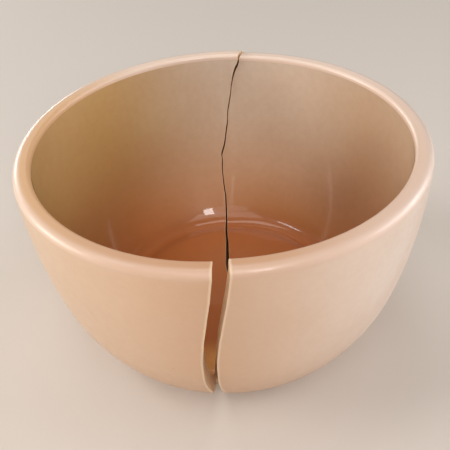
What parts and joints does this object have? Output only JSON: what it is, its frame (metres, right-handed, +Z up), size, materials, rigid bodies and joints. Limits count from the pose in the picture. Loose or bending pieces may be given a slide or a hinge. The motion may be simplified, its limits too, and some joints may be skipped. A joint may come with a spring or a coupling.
{
  "type": "cracked bowl",
  "caption": "Deep round ceramic bowl, broken clean through from rim to rim; its halves stand together, tight at the back and open at the front.",
  "frame": {"origin": "on the table, under the middle of the bowl", "axes": "+Z up through the rim, -Y towards the open end of the break, +X towards the right half"},
  "size_m": [0.1424, 0.1399, 0.0832],
  "materials": {
    "glaze_left": "satin cream glaze outside, clear gloss over tan inside",
    "glaze_right": "satin cream glaze outside, clear gloss over tan inside",
    "broken_clay": "bare matt clay, rough where it broke"
  },
  "bodies": {
    "root": {"left_half": "glaze_left", "right_half": "glaze_right"}
  },
  "joints": []
}
